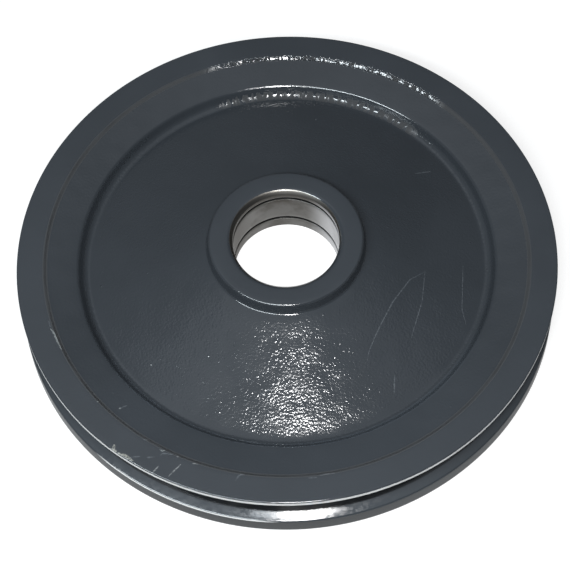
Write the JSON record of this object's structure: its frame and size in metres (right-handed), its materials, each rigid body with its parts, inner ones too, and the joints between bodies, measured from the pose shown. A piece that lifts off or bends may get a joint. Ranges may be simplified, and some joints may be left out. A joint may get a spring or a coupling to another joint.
{
  "type": "belt tensioner pulley",
  "caption": "Dished cast-iron V-belt tensioner pulley with an offset hub, an open bearing bore with retaining-ring grooves, and dark grey paint.",
  "frame": {"origin": "on the pulley's axis, in the plane of the lower rim face on which it lies", "axes": "+Z along the pulley's axis towards the proud end of the hub; X and Y lie in the lower rim face"},
  "size_m": [0.24, 0.24, 0.044],
  "materials": {
    "painted_casting": "semi-gloss dark slate paint over a sand-cast skin, with bare turned iron in the bearing bore"
  },
  "bodies": {
    "root": {"pulley": "painted_casting"}
  },
  "joints": []
}
